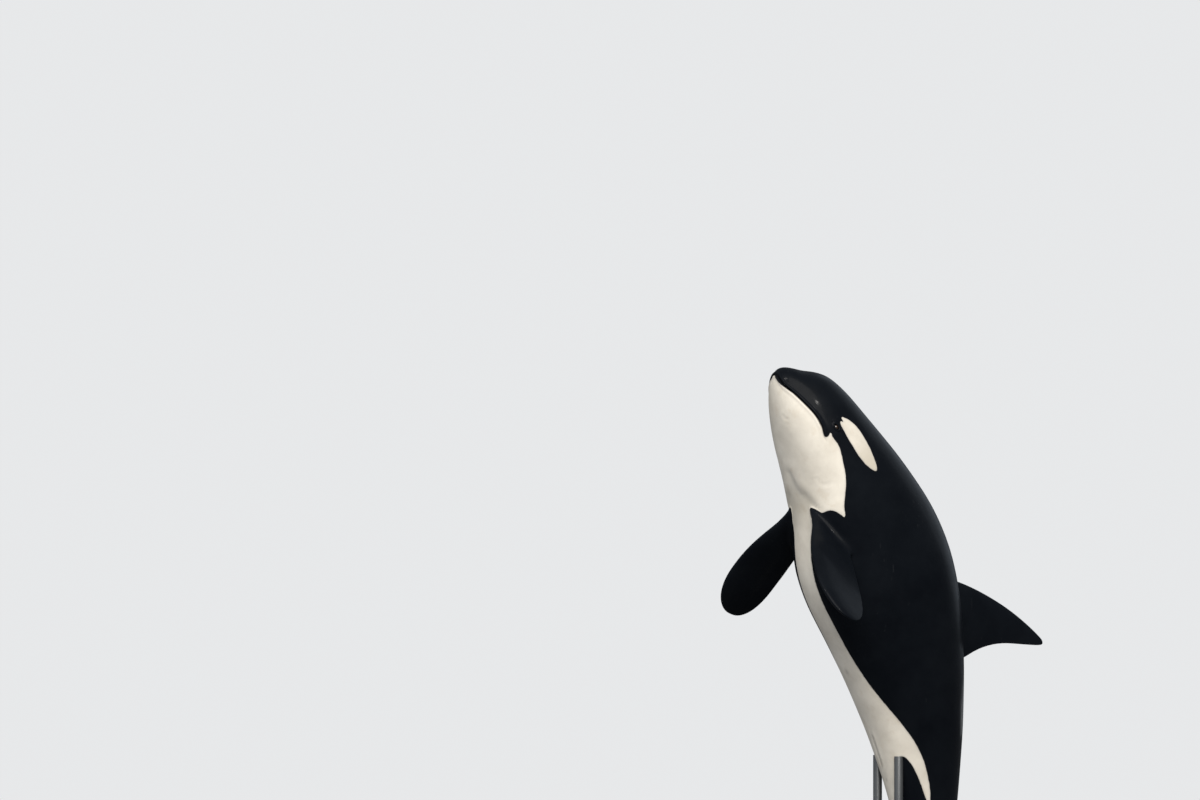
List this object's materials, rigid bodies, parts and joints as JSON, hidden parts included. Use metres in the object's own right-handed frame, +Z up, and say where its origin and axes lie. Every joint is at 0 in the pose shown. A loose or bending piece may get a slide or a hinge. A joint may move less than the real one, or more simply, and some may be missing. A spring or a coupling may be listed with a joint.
{
  "type": "orca model",
  "caption": "Life-size still figure of an orca rising upright with closed mouth and spread flippers, held over a flat base by plain rods.",
  "frame": {"origin": "centre of the stand's underside, on the floor", "axes": "+Z up, +X to the animal's left, -Y the way the belly faces, so the part is alike on both sides of the plane X = 0"},
  "size_m": [2.3064, 2.9283, 6.1489],
  "materials": {
    "head_skin": "smooth wet black skin with a white patch behind the eye",
    "jaw_skin": "smooth wet cream-white skin",
    "body_skin": "smooth wet black skin with a white belly and a grey saddle",
    "fin_skin": "smooth wet black skin",
    "eye": "glossy dark brown",
    "stand_plate": "satin grey paint",
    "stand_rod": "satin grey paint"
  },
  "bodies": {
    "root": {"head": "head_skin", "lower_jaw": "jaw_skin", "chest": "body_skin", "abdomen": "body_skin", "tail_stock": "body_skin", "dorsal_fin": "fin_skin", "flipper_left": "fin_skin", "flipper_right": "fin_skin", "fluke_left": "fin_skin", "fluke_right": "fin_skin", "eye_left": "eye", "eye_right": "eye", "stand_base": "stand_plate", "stand_rod_left": "stand_rod", "stand_rod_right": "stand_rod", "stand_foot_left": "stand_rod", "stand_foot_right": "stand_rod"}
  },
  "joints": []
}
